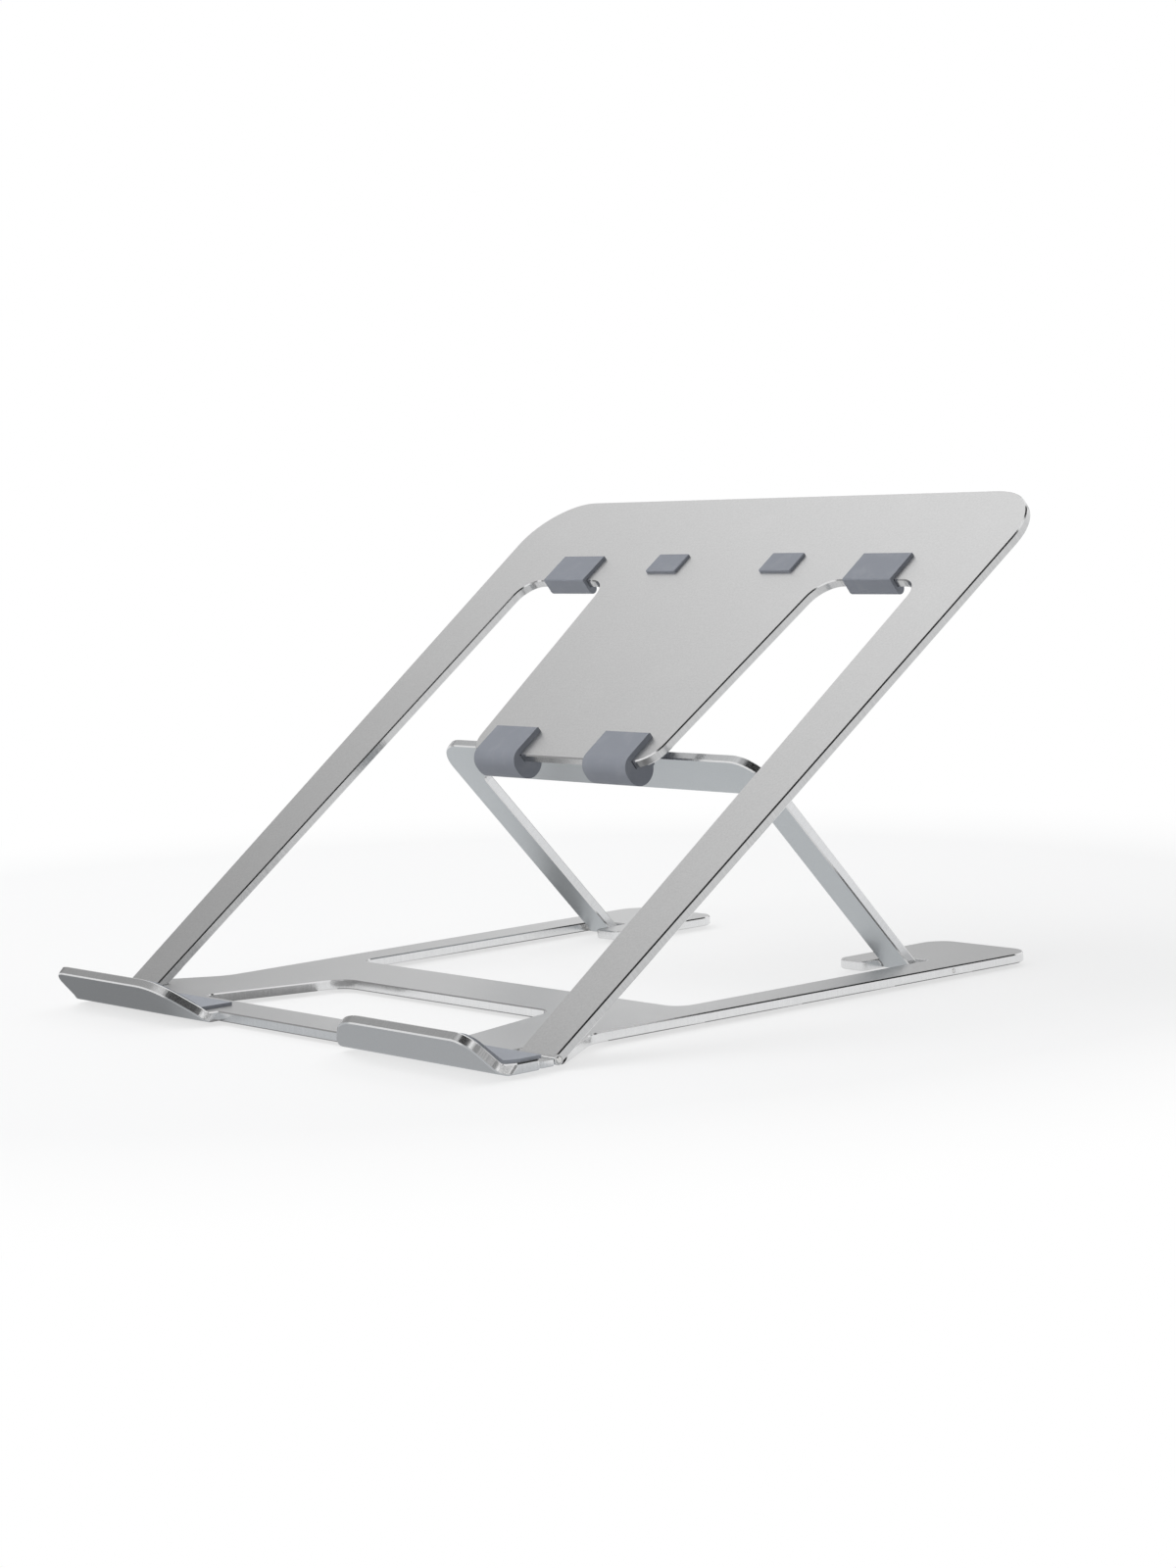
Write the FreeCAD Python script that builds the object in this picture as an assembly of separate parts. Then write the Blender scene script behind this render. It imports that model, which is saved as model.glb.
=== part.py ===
import FreeCAD, Part
import math
import os

# Portable laptop stand bent and cut from sheet, drawn in millimetres.
# X runs across the stand, Y from the front lips to the rear feet, Z up from the table.
# The stand is drawn about its front hinge line and moved to the middle of its footprint at the end.

# Sheet and edges
SHEET = 3.2
EDGE = 0.4
PAD = 1.0
FIT = 0.02
RUN = 0.05
SEAT = 0.02

# Angles of the built pose, in degrees from the table
PANEL_ANGLE = 36.44
BRACKET_ANGLE = 47.85
LIP_ANGLE = 45.0

# Panel, measured up its slope from the front hinge line
PANEL_LENGTH = 256.3
PANEL_HALF_FRONT = 113.8
PANEL_FLARE = 11.05
PANEL_CORNER = 23.0
LEG_WIDTH = 16.6
LEG_FLARE = 1.9
TOP_BAND = 45.0
TONGUE_HALF = 46.55
TONGUE_FLARE = 7.8
TONGUE_CORNER = 10.0

# Base plate, its widths taken inwards from the panel's legs
LEG_CLEAR = 1.25
ARM_WIDTH = 13.2
ARM_OUTER_FLARE = 3.85
ARM_INNER_FLARE = 1.15
BAR_FRONT = -16.2
BAR_REAR = -1.3
WEB = 27.2
WEB_CLEAR = 4.11
OPENING_INSET = 14.85
OPENING_TAPER = 13.2
TAB_CLEAR = 0.4
TAB_WIDTH = 12.9
TAB_FRONT = 10.3
SLOT_BEHIND_HINGE = 4.7
FOOT_BEHIND_HINGE = 38.3
NOTCH = 1.0
WING_START = 2.7
WING_END = 27.5

# Lips at the front of the base plate
LIP_OVERHANG = 1.2
LIP_INNER = 36.0
LIP_SLANT_OUTER = 5.0
LIP_SLANT_INNER = 14.5
LIP_WAIST = 2.7
LIP_CORNER = 20.7
LIP_FACE = 15.75
BEND_INSIDE = 1.5

# Support bracket
REAR_HINGE = 177.9
REST_GAP = 0.25
CROSSBAR = 15.59
BRACKET_CLEAR = 1.05
BRACKET_LEG = 13.1
BRACKET_CORNER = 12.0

# Hinges
KNUCKLE_GAP = 0.4
FRONT_PIN_R = 1.1
REAR_PIN_R = 0.75
POCKET_WALL = 0.5
PIN_DEPTH = 12.0
REAR_PIN_INSET = 5.0

# Rubber parts
LIP_PAD_REAR = -6.8
LIP_PAD_INSET = 6.0
FRONT_FOOT_INSET = 21.0
FRONT_FOOT_WIDTH = 27.0
REAR_FOOT_INSET = 6.0
REAR_FOOT_CORNER = 5.0
HOOK_IN = 17.6
HOOK_INSET = 7.55
HOOK_REACH = 10.46
HOOK_LENGTH = 11.9
HOOK_STRIP = 2.0
HOOK_WALL = 4.2
HOOK_CORNER = 4.8
HOOK_R = 5.6
HOOK_DROP = 6.3
HOOK_BACK = 4.05
HEEL_INSET = 3.0
TOOTH_DROP = 1.8
TOOTH_GAP = 1.6
CLIP_INSET_IN = 11.25
CLIP_INSET_OUT = 11.8
CLIP_LENGTH = 12.2
CLIP_STRIP = 1.3
CLIP_WALL = 1.2
CLIP_CURL = 1.8
DOT_IN = 21.2
DOT_OUT = 36.5
DOT_RISE = 3.9
DOT_LENGTH = 9.3

HALF = SHEET / 2
BASE_LOW = PAD
BASE_TOP = BASE_LOW + SHEET
AXIS_Z = BASE_LOW + HALF
V = FreeCAD.Vector
X_DIR = V(1, 0, 0)
face = HALF + SEAT
tilt = math.radians(PANEL_ANGLE)
lean = math.radians(BRACKET_ANGLE)
between = tilt + lean

# The bracket is as long as it takes to reach the hooks' underside in the built pose
bracket_rise = REAR_HINGE * math.sin(tilt) - face - HOOK_BACK - REST_GAP - HALF * math.cos(between)
bracket_length = bracket_rise / math.sin(between)
crest_y = REAR_HINGE - bracket_length * math.cos(lean) - HALF * math.sin(lean)
crest_z = bracket_length * math.sin(lean) - HALF * math.cos(lean)
crest = crest_y * math.cos(tilt) + crest_z * math.sin(tilt)

# Widths, each from its neighbour and a clearance
panel_half_rear = PANEL_HALF_FRONT + PANEL_FLARE
leg_inner_front = PANEL_HALF_FRONT - LEG_WIDTH
leg_inner_rear = leg_inner_front + LEG_FLARE
arm_outer_front = leg_inner_front - LEG_CLEAR
arm_outer_rear = arm_outer_front + ARM_OUTER_FLARE
arm_inner_front = arm_outer_front - ARM_WIDTH
arm_inner_rear = arm_inner_front + ARM_INNER_FLARE
opening_front_half = arm_inner_front - OPENING_INSET
opening_rear_half = opening_front_half - OPENING_TAPER
bracket_half_width = arm_inner_front - BRACKET_CLEAR
bracket_leg_inner = bracket_half_width - BRACKET_LEG
tab_outer = bracket_leg_inner - TAB_CLEAR
tab_inner = tab_outer - TAB_WIDTH
lip_outer = PANEL_HALF_FRONT + LIP_OVERHANG
tongue_half_rear = TONGUE_HALF + TONGUE_FLARE

# Lengths, each from the hinge or edge that it follows
tongue_end = crest - HOOK_REACH
window_end = PANEL_LENGTH - TOP_BAND
web_rear = REAR_HINGE - bracket_length - WEB_CLEAR
web_front = web_rear - WEB
foot_front = REAR_HINGE - TAB_FRONT
slot_end = REAR_HINGE + SLOT_BEHIND_HINGE
foot_rear = REAR_HINGE + FOOT_BEHIND_HINGE


def rounded_wire(corners):
    """Closed wire in the XY plane through corners (x, y, radius)."""
    count = len(corners)
    joints = []
    for i in range(count):
        x, y, r = corners[i]
        here = V(x, y, 0)
        before = V(corners[i - 1][0], corners[i - 1][1], 0) - here
        after = V(corners[(i + 1) % count][0], corners[(i + 1) % count][1], 0) - here
        if r <= 0:
            joints.append((here, None, here))
            continue
        before.normalize()
        after.normalize()
        half_angle = before.getAngle(after) / 2
        reach = r / math.tan(half_angle)
        middle = before + after
        middle.normalize()
        centre = here + middle * (r / math.sin(half_angle))
        joints.append((here + before * reach, centre - middle * r, here + after * reach))
    edges = []
    for i in range(count):
        start, top, end = joints[i]
        if top is not None:
            edges.append(Part.Arc(start, top, end).toShape())
        following = joints[(i + 1) % count][0]
        if end.distanceToPoint(following) > 1e-6:
            edges.append(Part.LineSegment(end, following).toShape())
    return Part.Wire(edges)


def both_sides(half):
    """Mirror a half outline, listed from the middle line outwards and back, to the left."""
    return half + [(-x, y, r) for x, y, r in reversed(half)]


def sheet_from(outer, holes=()):
    """Flat sheet of the full thickness, centred on the XY plane."""
    solid = Part.Face(rounded_wire(outer)).extrude(V(0, 0, SHEET))
    for hole in holes:
        solid = solid.cut(Part.Face(rounded_wire(hole)).extrude(V(0, 0, SHEET)))
    solid.translate(V(0, 0, -HALF))
    return solid


def break_edges(solid, size, skip=None):
    """Bevel the outline edges on both faces, apart from those the skip rule names."""
    chosen = []
    for edge in solid.Edges:
        box = edge.BoundBox
        if box.ZLength > 1e-3:
            continue
        if skip and skip(box.Center):
            continue
        chosen.append(edge)
    return solid.makeChamfer(size, chosen)


def profile_prism(points, x_low, x_high):
    """Solid from a closed (y, z) outline, run along X. A point may be (y, z) or an arc's (mid, end)."""
    edges = []
    last = V(x_low, points[0][0], points[0][1])
    first = last
    for item in points[1:]:
        if isinstance(item[0], tuple):
            mid = V(x_low, item[0][0], item[0][1])
            end = V(x_low, item[1][0], item[1][1])
            edges.append(Part.Arc(last, mid, end).toShape())
        else:
            end = V(x_low, item[0], item[1])
            edges.append(Part.LineSegment(last, end).toShape())
        last = end
    if last.distanceToPoint(first) > 1e-6:
        edges.append(Part.LineSegment(last, first).toShape())
    return Part.Face(Part.Wire(edges)).extrude(V(x_high - x_low, 0, 0))


def rod(radius, x_low, x_high, y, z):
    return Part.makeCylinder(radius, x_high - x_low, V(x_low, y, z), X_DIR)


def mirrored(shape):
    return shape.mirror(V(0, 0, 0), X_DIR)


def on_slope(shape, angle, y):
    """Stand a flat sheet up about the hinge line at y."""
    moved = shape.copy()
    moved.rotate(V(0, 0, 0), X_DIR, angle)
    moved.translate(V(0, y, AXIS_Z))
    return moved


# Lip section: a short flat root, a bend and a slanted plate
slant = math.radians(LIP_ANGLE)
bend_outside = BEND_INSIDE + SHEET
tangent = bend_outside * math.tan(slant / 2)
bend_y = -LIP_CORNER + tangent
bend_z = BASE_LOW + bend_outside
up_y = -math.cos(slant)
up_z = math.sin(slant)
in_y = math.sin(slant)
in_z = math.cos(slant)


def bend_point(radius, part):
    """Point on the bend at a radius; part 0 is its start at the root and 1 its end at the plate."""
    turn = slant * part
    return (bend_y - radius * math.sin(turn), bend_z - radius * math.cos(turn))


def up_plate(start, length):
    return (start[0] + up_y * length, start[1] + up_z * length)


plate_length = LIP_FACE - tangent
lip_front_low = bend_point(bend_outside, 1)
lip_front_top = up_plate(lip_front_low, plate_length)
lip_back_top = (lip_front_top[0] + in_y * SHEET, lip_front_top[1] + in_z * SHEET)
lip_start = BAR_FRONT + EDGE * 2
lip_section = [
    (lip_start, BASE_LOW),
    (bend_y, BASE_LOW),
    (bend_point(bend_outside, 0.5), lip_front_low),
    lip_front_top,
    lip_back_top,
    bend_point(BEND_INSIDE, 1),
    (bend_point(BEND_INSIDE, 0.5), (bend_y, BASE_TOP)),
    (lip_start, BASE_TOP),
]


def slanted_outline(corners, low, high):
    """Prism square to the lip's plate from an outline in (x, length up the plate)."""
    prism = Part.Face(rounded_wire(corners)).extrude(V(0, 0, high - low))
    prism.translate(V(0, 0, low))
    prism.rotate(V(0, 0, 0), X_DIR, 180 - LIP_ANGLE)
    prism.translate(V(0, lip_front_low[0], lip_front_low[1]))
    return prism


lip_outline = [
    (LIP_INNER, -8.0, 0),
    (LIP_INNER, 0.3, 8.0),
    (LIP_INNER + LIP_SLANT_INNER, plate_length, 22.0),
    (lip_outer - LIP_SLANT_OUTER, plate_length, 7.0),
    (lip_outer - LIP_WAIST, 0.8, 5.0),
    (lip_outer, -3.0, 2.5),
    (lip_outer, -8.0, 0),
]
lip = profile_prism(lip_section, LIP_INNER, lip_outer)
lip = lip.common(slanted_outline(lip_outline, -SHEET * 3, SHEET * 3)).Solids[0]


def is_broad(face_part):
    """True for the lip's broad faces: its plate, bend and root, but not its rim."""
    if face_part.Surface.TypeId == "Part::GeomCylinder":
        return abs(face_part.Surface.Axis.x) > 0.99
    normal = face_part.normalAt(0, 0)
    if abs(normal.x) > 1e-3:
        return False
    return abs(normal.z) > 0.999 or normal.y * normal.z > 0.1


def rim_edges(solid):
    """Edges between a broad face and the rim, apart from those inside the bar."""
    chosen = []
    for edge in solid.Edges:
        neighbours = solid.ancestorsOfType(edge, Part.Face)
        if edge.BoundBox.YMin > lip_start - 0.01:
            continue
        if sum(1 for near in neighbours if is_broad(near)) == 1:
            chosen.append(edge)
    return chosen


lip = lip.makeChamfer(EDGE, rim_edges(lip))

# Base plate: front bar, trapezoid opening, web, side arms and slotted rear feet
base_half = [
    (lip_outer, BAR_FRONT, 0),
    (lip_outer, LIP_PAD_REAR - 1.0, 1.2),
    (PANEL_HALF_FRONT - NOTCH, LIP_PAD_REAR - 0.3, 0.4),
    (PANEL_HALF_FRONT, LIP_PAD_REAR + 0.8, 1.0),
    (PANEL_HALF_FRONT, WING_START, 1.5),
    (arm_outer_front, WING_END, 12.0),
    (arm_outer_rear, foot_rear, 9.5),
    (tab_inner, foot_rear, 8.0),
    (tab_inner, foot_front, 4.0),
    (tab_outer, foot_front, 2.0),
    (tab_outer, slot_end, 2.0),
    (arm_inner_rear, slot_end, 2.0),
    (arm_inner_front, web_rear, 6.0),
]
opening = [
    (-opening_front_half, BAR_REAR, 4.0),
    (opening_front_half, BAR_REAR, 4.0),
    (opening_rear_half, web_front, 8.0),
    (-opening_rear_half, web_front, 8.0),
]


base = sheet_from(both_sides(base_half), [opening])
base = break_edges(base, EDGE)
base.translate(V(0, 0, AXIS_Z))
base = base.fuse([lip, mirrored(lip)])

# Pocket for each leg end: a round seat and a rear wall that follows the underside of the leg
pocket_r = HALF + KNUCKLE_GAP
wall_in = leg_inner_front - POCKET_WALL
far = lip_outer * 1.1
reach_z = SHEET * 1.25


def leg_back(z):
    """Y of the pocket's rear wall at height z from the hinge line."""
    return (HALF + KNUCKLE_GAP + z * math.cos(tilt)) / math.sin(tilt)


pocket_section = [
    (-pocket_r, AXIS_Z - reach_z),
    (leg_back(-reach_z), AXIS_Z - reach_z),
    (leg_back(reach_z), AXIS_Z + reach_z),
    (-pocket_r, AXIS_Z + reach_z),
]
pocket = profile_prism(pocket_section, wall_in, far)
pocket = pocket.fuse(rod(pocket_r, wall_in, far, 0, AXIS_Z))
ledge_z = AXIS_Z + KNUCKLE_GAP
ledge = Part.makeBox(far - wall_in, -LIP_PAD_REAR, reach_z, V(wall_in, LIP_PAD_REAR, ledge_z))
front_hole = rod(FRONT_PIN_R + FIT, wall_in - PIN_DEPTH - FIT, far, 0, AXIS_Z)
rear_hole = rod(REAR_PIN_R + FIT, tab_inner + REAR_PIN_INSET - FIT, far, REAR_HINGE, AXIS_Z)
right_cuts = pocket.fuse([ledge, front_hole, rear_hole])
base = base.cut(right_cuts).cut(mirrored(right_cuts)).removeSplitter()

# Panel: two legs, a broad top and a tongue between two windows
panel_half = [
    (TONGUE_HALF, tongue_end, TONGUE_CORNER),
    (tongue_half_rear, window_end, 9.0),
    (leg_inner_rear, window_end, 8.0),
    (leg_inner_front, 0, 0),
    (PANEL_HALF_FRONT, 0, 0),
    (panel_half_rear, PANEL_LENGTH, PANEL_CORNER),
]


def at_hinge(centre):
    return abs(centre.y) < 0.01


panel = sheet_from(both_sides(panel_half))
panel = break_edges(panel, EDGE, at_hinge)
knuckle = rod(HALF, leg_inner_front, PANEL_HALF_FRONT, 0, 0)
panel = panel.fuse([knuckle, mirrored(knuckle)])
panel = panel.cut(rod(FRONT_PIN_R + RUN, -far, far, 0, 0)).removeSplitter()
panel = on_slope(panel, PANEL_ANGLE, 0)

# Support bracket: two legs joined by a crossbar
bracket_half = [
    (bracket_leg_inner, bracket_length - CROSSBAR, 3.5),
    (bracket_leg_inner, 0, 0),
    (bracket_half_width, 0, 0),
    (bracket_half_width, bracket_length, BRACKET_CORNER),
]
bracket = sheet_from(both_sides(bracket_half))
bracket = break_edges(bracket, EDGE, at_hinge)
heel = rod(HALF, bracket_leg_inner, bracket_half_width, 0, 0)
bracket = bracket.fuse([heel, mirrored(heel)])
bracket = bracket.cut(rod(REAR_PIN_R + RUN, -far, far, 0, 0)).removeSplitter()
bracket = on_slope(bracket, 180 - BRACKET_ANGLE, REAR_HINGE)

# Rubber hook over the tongue's free edge: a strip on the face, a rounded front corner and a thick
# curl below the edge
hook_top = tongue_end + HOOK_LENGTH
hook_high = face + HOOK_STRIP
hook_front = tongue_end - HOOK_WALL
corner_v = hook_front + HOOK_CORNER
corner_h = hook_high - HOOK_CORNER
corner_mid = HOOK_CORNER * math.cos(math.radians(45.0))
curl_v = hook_front + HOOK_R
curl_h = hook_high - HOOK_DROP
curl_stop = math.asin((-face - curl_h) / HOOK_R)
hook_section = [
    (hook_top, face),
    (hook_top, hook_high - 0.3),
    (hook_top - 0.3, hook_high),
    (corner_v, hook_high),
    ((corner_v - corner_mid, corner_h + corner_mid), (hook_front, corner_h)),
    (hook_front, curl_h),
    ((curl_v, curl_h - HOOK_R), (curl_v + HOOK_R * math.cos(curl_stop), -face)),
    (tongue_end - SEAT, -face),
    (tongue_end - SEAT, face),
]

# Heel of the hook under the tongue: the crossbar bears on it, behind a small tooth
back_h = -face - HOOK_BACK
tooth_v = crest - TOOTH_GAP
tooth_h = back_h - TOOTH_DROP
heel_end = crest + SHEET * 2
heel_section = [
    (curl_v, -face),
    (curl_v, tooth_h),
    (tooth_v, tooth_h),
    (tooth_v, back_h),
    (heel_end, back_h),
    (heel_end, -face),
]
hook_out = TONGUE_HALF - HOOK_INSET
hook = profile_prism(hook_section, HOOK_IN, hook_out)
heel = profile_prism(heel_section, HOOK_IN + HEEL_INSET, hook_out - HEEL_INSET)
hook = on_slope(hook.fuse(heel).removeSplitter(), PANEL_ANGLE, 0)

# Rubber clip over the upper edge of each window
clip_top = window_end + CLIP_LENGTH
clip_low = window_end - SEAT - CLIP_WALL
clip_high = face + CLIP_STRIP
clip_axis = clip_low + CLIP_CURL
clip_bottom = -face - PAD
clip_section = [
    (clip_top, face),
    (clip_top, clip_high - 0.2),
    (clip_top - 0.2, clip_high),
    (clip_low + 0.3, clip_high),
    (clip_low, clip_high - 0.3),
    (clip_low, clip_bottom),
    ((clip_axis, clip_bottom - CLIP_CURL), (clip_axis + CLIP_CURL, clip_bottom)),
    (clip_top - 4.5, clip_bottom),
    (clip_top - 4.5, -face),
    (window_end - SEAT, -face),
    (window_end - SEAT, face),
]
clip_in = tongue_half_rear + CLIP_INSET_IN
clip_out = leg_inner_rear - CLIP_INSET_OUT
clip = on_slope(profile_prism(clip_section, clip_in, clip_out), PANEL_ANGLE, 0)

# Small pad on the panel's face
dot_low = window_end + DOT_RISE
dot_top = dot_low + DOT_LENGTH
dot_corners = [
    (DOT_IN, dot_low, 0.6),
    (DOT_OUT, dot_low, 0.6),
    (DOT_OUT, dot_top, 0.6),
    (DOT_IN, dot_top, 0.6),
]
dot = Part.Face(rounded_wire(dot_corners)).extrude(V(0, 0, PAD))
dot = dot.makeChamfer(0.2, [e for e in dot.Edges if e.BoundBox.ZMin > PAD - 0.01])
dot.translate(V(0, 0, face))
dot = on_slope(dot, PANEL_ANGLE, 0)

# Rubber liner of each lip: it lies on the root and runs up the inside of the plate
liner_r = BEND_INSIDE - SEAT
liner_top = liner_r - PAD
liner_length = plate_length - 2.4
liner_inner = LIP_INNER + LIP_PAD_INSET
liner_outer = lip_outer - 0.7
liner_foot = bend_point(liner_r, 1)
liner_head = bend_point(liner_top, 1)
liner_section = [
    (LIP_PAD_REAR, BASE_TOP + SEAT),
    (bend_y, BASE_TOP + SEAT),
    (bend_point(liner_r, 0.5), liner_foot),
    up_plate(liner_foot, liner_length),
    up_plate(liner_head, liner_length),
    liner_head,
    (bend_point(liner_top, 0.5), (bend_y, BASE_TOP + SEAT + PAD)),
    (LIP_PAD_REAR, BASE_TOP + SEAT + PAD),
]
liner_outline = [
    (liner_inner, -30.0, 0),
    (liner_inner, 2.0, 4.0),
    (LIP_INNER + LIP_SLANT_INNER + 2.0, liner_length, 14.0),
    (lip_outer - LIP_SLANT_OUTER - 1.2, liner_length, 5.0),
    (lip_outer - LIP_WAIST - 0.8, 1.0, 4.0),
    (liner_outer, -3.4, 2.0),
    (liner_outer, -30.0, 0),
]
liner = profile_prism(liner_section, liner_inner, liner_outer)
liner = liner.common(slanted_outline(liner_outline, -SHEET * 8, SHEET * 8))


def foot_pad(x_low, x_high, y_low, y_high, r):
    corners = [(x_low, y_low, r), (x_high, y_low, r), (x_high, y_high, r), (x_low, y_high, r)]
    pad = Part.Face(rounded_wire(corners)).extrude(V(0, 0, PAD - SEAT))
    return pad.makeChamfer(0.2, [e for e in pad.Edges if e.BoundBox.ZMax < 0.01])


front_foot_out = lip_outer - FRONT_FOOT_INSET
front_foot_in = front_foot_out - FRONT_FOOT_WIDTH
front_foot = foot_pad(front_foot_in, front_foot_out, BAR_FRONT + 1.8, BAR_REAR - 2.5, 2.0)
rear_foot_low = slot_end + REAR_FOOT_INSET
rear_foot_high = foot_rear - REAR_FOOT_INSET
rear_foot_in = tab_inner + REAR_FOOT_INSET
rear_foot_out = arm_outer_rear - REAR_FOOT_INSET
rear_foot = foot_pad(rear_foot_in, rear_foot_out, rear_foot_low, rear_foot_high, REAR_FOOT_CORNER)


def pin(radius, x_low, x_high, y):
    """Pin with a slightly domed outer end."""
    body = rod(radius, x_low, x_high, y, AXIS_Z)
    return body.makeChamfer(radius * 0.25, [e for e in body.Edges if e.BoundBox.XMin > x_high - 0.01])


def ring(outer, inner, x_low, x_high, y):
    return rod(outer, x_low, x_high, y, AXIS_Z).cut(rod(inner, x_low, x_high, y, AXIS_Z))


arm_outer_at_hinge = arm_outer_front + ARM_OUTER_FLARE * (REAR_HINGE - WING_END) / (foot_rear - WING_END)
arm_inner_at_hinge = arm_inner_front + ARM_INNER_FLARE * (REAR_HINGE - web_rear) / (slot_end - web_rear)
front_pin = pin(FRONT_PIN_R, wall_in - PIN_DEPTH, PANEL_HALF_FRONT + 0.3, 0)
rear_pin = pin(REAR_PIN_R, tab_inner + REAR_PIN_INSET, arm_outer_at_hinge + 0.15, REAR_HINGE)
front_washer = ring(HALF - 0.1, FRONT_PIN_R + FIT, wall_in + SEAT, leg_inner_front - RUN, 0)
inner_washer = ring(HALF - 0.1, REAR_PIN_R + FIT, tab_outer + SEAT, bracket_leg_inner - RUN, REAR_HINGE)
outer_washer_end = arm_inner_at_hinge - RUN
outer_washer = ring(HALF - 0.1, REAR_PIN_R + FIT, bracket_half_width + RUN, outer_washer_end, REAR_HINGE)

nodes = {"base_plate": base, "panel": panel, "support_bracket": bracket}
pairs = {
    "lip_liner": liner,
    "front_foot": front_foot,
    "rear_foot": rear_foot,
    "edge_hook": hook,
    "window_clip": clip,
    "small_pad": dot,
    "front_pin": front_pin,
    "rear_pin": rear_pin,
    "front_washer": front_washer,
    "inner_washer": inner_washer,
    "outer_washer": outer_washer,
}
for name, shape in pairs.items():
    nodes[name + "_right"] = shape
    nodes[name + "_left"] = mirrored(shape)

# Move the stand so that the middle of its footprint is at the origin
front_edge = min(shape.BoundBox.YMin for shape in nodes.values())
rear_edge = max(shape.BoundBox.YMax for shape in nodes.values())
shift = V(0, -(front_edge + rear_edge) / 2, 0)
os.makedirs("parts", exist_ok=True)
for name, shape in nodes.items():
    placed = shape.copy()
    placed.translate(shift)
    placed.exportStep("parts/" + name + ".step")
    box = placed.BoundBox
    low = (round(box.XMin, 2), round(box.YMin, 2), round(box.ZMin, 2))
    high = (round(box.XMax, 2), round(box.YMax, 2), round(box.ZMax, 2))
    print(name, len(placed.Solids), placed.isValid(), low, high)
print("front hinge at y", round(shift.y, 3))
print("rear hinge at y", round(REAR_HINGE + shift.y, 3), "height", AXIS_Z)
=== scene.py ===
import math

import bpy
from mathutils import Matrix, Vector

# Portable laptop stand: sheet metal base, tilting panel, support bracket and rubber pads.
# All lengths are in metres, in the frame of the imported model, unless a line says mm.

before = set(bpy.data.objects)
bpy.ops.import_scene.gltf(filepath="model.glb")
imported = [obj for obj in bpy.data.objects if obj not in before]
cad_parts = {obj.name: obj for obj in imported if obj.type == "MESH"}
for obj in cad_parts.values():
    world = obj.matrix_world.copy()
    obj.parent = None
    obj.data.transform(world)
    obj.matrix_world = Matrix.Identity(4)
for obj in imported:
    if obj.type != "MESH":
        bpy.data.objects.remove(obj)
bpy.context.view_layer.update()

MM = 0.001
UP = (0.0, 0.0, 1.0)
ALONG_X = (1.0, 0.0, 0.0)
ALONG_Y = (0.0, 1.0, 0.0)

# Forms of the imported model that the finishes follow.
PANEL_TILT = math.radians(36.44)
BRACKET_LEAN = math.radians(47.85)
LIP_SLANT = math.radians(45.0)
LIP_BEND_Y = -111.08 * MM
LIP_BEND_RUN = 2.4 * MM
PANEL_FACING = (0.0, -math.sin(PANEL_TILT), math.cos(PANEL_TILT))
BRACKET_FACING = (0.0, math.sin(BRACKET_LEAN), math.cos(BRACKET_LEAN))

# Camera of the photograph: place, angles in radians, lens in mm on a 36 mm sensor.
PHOTO_EYE = Vector((0.8355, -0.67942, 0.1734))
PHOTO_YAW = 0.8750
PHOTO_PITCH = 0.0988
PHOTO_ROLL = -0.0474
PHOTO_LENS = 75.876
SENSOR_WIDTH = 36.0
NEAREST_SEEN = 0.01

# Colours of the sheets. A cut edge has its own colour, and all bevels share one.
BASE_FACE = (0.575, 0.577, 0.580)
PANEL_FACE = (0.750, 0.750, 0.750)
BRACKET_FACE = (0.490, 0.515, 0.532)
BASE_EDGE = (0.780, 0.783, 0.788)
PANEL_EDGE = (0.555, 0.558, 0.562)
BRACKET_EDGE = (0.700, 0.708, 0.718)
BEVEL = (0.720, 0.722, 0.726)
HAIRLINE = (0.85, 0.85, 0.86)

# Colours of the other pieces.
PAD_RUBBER = (0.212, 0.225, 0.256)
# The liner's rubber is the pads' rubber painted lighter. This painted light offsets the shade that
# the lips cast on it.
LINER_RUBBER_WITH_PAINTED_LIGHT = (0.323, 0.339, 0.374)
FOOT_RUBBER = (0.150, 0.158, 0.175)
RUBBER_DUST = (0.42, 0.43, 0.45)
PIN_STEEL = (0.640, 0.635, 0.625)
PIN_SHINE = (0.86, 0.86, 0.86)
WASHER_PLASTIC = (0.480, 0.480, 0.475)

# Blasted sheets. A face turns into a bevel and a bevel into a cut edge where the surface
# leaves the sheet's own direction: cosines at which each change starts and ends.
FACE_TO_BEVEL = (0.96, 0.88)
BEVEL_TO_EDGE = (0.50, 0.30)
FACE_MOTTLE = 0.05
SPECKLE_HEIGHT = 0.6
SPECKLE_ROUGHNESS = 0.5
MOTTLE_ROUGHNESS = 1.4
EDGE_GRAINS_PER_METRE = 1500.0
EDGE_MOTTLE = 0.08
EDGE_ROUGHNESS = 0.20
BEVEL_ROUGHNESS = 0.14
BEVEL_GRAIN_LEFT = 0.12
WEAR_AMOUNT = 0.5
SCUFF_CLOUDS_PER_METRE = 38.0
SCUFF_SPAN = (0.52, 0.78)
SCUFF_POLISH = 0.07
HAIRLINES_PER_METRE = (240.0, 2600.0, 900.0)
HAIRLINE_SPAN = (0.66, 0.80)
HAIRLINE_SHARE = 0.10

# Bumps: strength and depth.
SHEET_BUMP = (0.22, 0.00006)
RUBBER_BUMP = (0.25, 0.00005)
WASHER_BUMP = (0.15, 0.00004)
PIN_BUMP = (0.2, 0.00003)

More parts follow.
